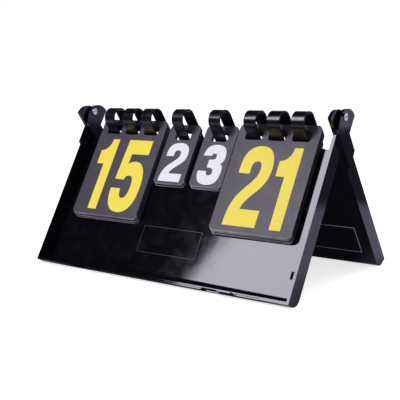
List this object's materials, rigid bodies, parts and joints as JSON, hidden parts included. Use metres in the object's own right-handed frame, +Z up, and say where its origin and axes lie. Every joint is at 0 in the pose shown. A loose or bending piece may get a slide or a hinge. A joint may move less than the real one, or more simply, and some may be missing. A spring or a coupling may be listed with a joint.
{
  "type": "tabletop flip scoreboard",
  "caption": "Folding tabletop scoreboard: two hinged trays stand as an A-frame and carry ring-bound number cards that flip over; shuts into a flat case.",
  "frame": {"origin": "on the table under the middle of the hinge line", "axes": "+X along the hinge to the viewer's right, +Y towards the rear tray, +Z up"},
  "size_m": [0.392, 0.2354, 0.197],
  "materials": {
    "case_plastic": "glossy moulded black",
    "ring_plastic": "glossy moulded black",
    "card_sheet": "satin printed sheet",
    "hinge_metal": "bright plated"
  },
  "bodies": {
    "front_half": {"front_tray": "case_plastic", "hinge_post_left": "hinge_metal", "hinge_post_right": "hinge_metal", "hinge_screw_left": "hinge_metal", "hinge_screw_right": "hinge_metal", "deck_left": "card_sheet", "deck_mid_left": "card_sheet", "deck_mid_right": "card_sheet", "deck_right": "card_sheet"},
    "rear_half": {"rear_tray": "case_plastic", "ring_1": "ring_plastic", "ring_2": "ring_plastic", "ring_3": "ring_plastic", "ring_4": "ring_plastic", "ring_5": "ring_plastic", "ring_6": "ring_plastic", "ring_7": "ring_plastic", "ring_8": "ring_plastic", "turned_left": "card_sheet", "turned_mid_left": "card_sheet", "turned_mid_right": "card_sheet", "turned_right": "card_sheet"},
    "card_left": {"card_left": "card_sheet"},
    "card_mid_left": {"card_mid_left": "card_sheet"},
    "card_mid_right": {"card_mid_right": "card_sheet"},
    "card_right": {"card_right": "card_sheet"}
  },
  "joints": [
    {"name": "case_fold", "type": "hinge", "parent": "front_half", "child": "rear_half", "pos_m": [0, 0, 0.18852], "axis": [1, 0, 0], "range_deg": [0, 296], "deforming": ["card_left", "card_mid_left", "card_mid_right", "card_right", "deck_left", "deck_mid_left", "deck_mid_right", "deck_right"]},
    {"name": "card_left_flip", "type": "hinge", "parent": "front_half", "child": "card_left", "pos_m": [0, -0.00246, 0.18132], "axis": [1, 0, 0], "range_deg": [-268, 0]},
    {"name": "card_mid_left_flip", "type": "hinge", "parent": "front_half", "child": "card_mid_left", "pos_m": [0, 0.00054, 0.17682], "axis": [1, 0, 0], "range_deg": [-268, 0]},
    {"name": "card_mid_right_flip", "type": "hinge", "parent": "front_half", "child": "card_mid_right", "pos_m": [0, 0.00054, 0.17682], "axis": [1, 0, 0], "range_deg": [-268, 0]},
    {"name": "card_right_flip", "type": "hinge", "parent": "front_half", "child": "card_right", "pos_m": [0, -0.00246, 0.18132], "axis": [1, 0, 0], "range_deg": [-268, 0]}
  ]
}
